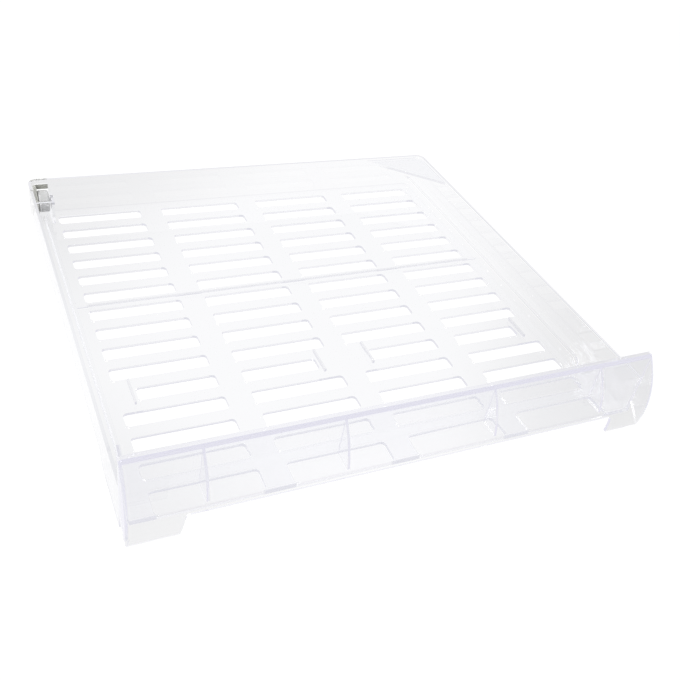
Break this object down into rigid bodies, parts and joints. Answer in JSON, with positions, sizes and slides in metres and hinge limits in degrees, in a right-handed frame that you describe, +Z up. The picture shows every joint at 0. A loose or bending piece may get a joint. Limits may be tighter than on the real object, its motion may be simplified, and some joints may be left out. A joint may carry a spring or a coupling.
{
  "type": "freezer drawer",
  "caption": "Shallow clear pull-out freezer drawer with slotted floor, stepped runner sides, bowed front with lip and feet, and a rear corner roller.",
  "frame": {"origin": "middle of the drawer's outline in plan, at the level of its underside", "axes": "+X to the right as seen from the front, +Y to the rear, +Z up; the front faces -Y"},
  "size_m": [0.45, 0.432, 0.0657],
  "materials": {
    "clear_plastic": "clear, glossy",
    "clear_front": "clear with a violet tint, glossy",
    "grey_plastic": "satin",
    "white_plastic": "satin",
    "pin_steel": "drawn"
  },
  "bodies": {
    "drawer": {"tray": "clear_plastic", "front_panel": "clear_front", "roller_bracket": "grey_plastic", "roller_axle": "pin_steel"},
    "roller": {"roller_wheel": "white_plastic"}
  },
  "joints": [
    {"name": "roller_spin", "type": "hinge", "parent": "drawer", "child": "roller", "pos_m": [-0.2121, 0.2055, 0.02], "axis": [1, 0, 0], "continuous": true}
  ]
}
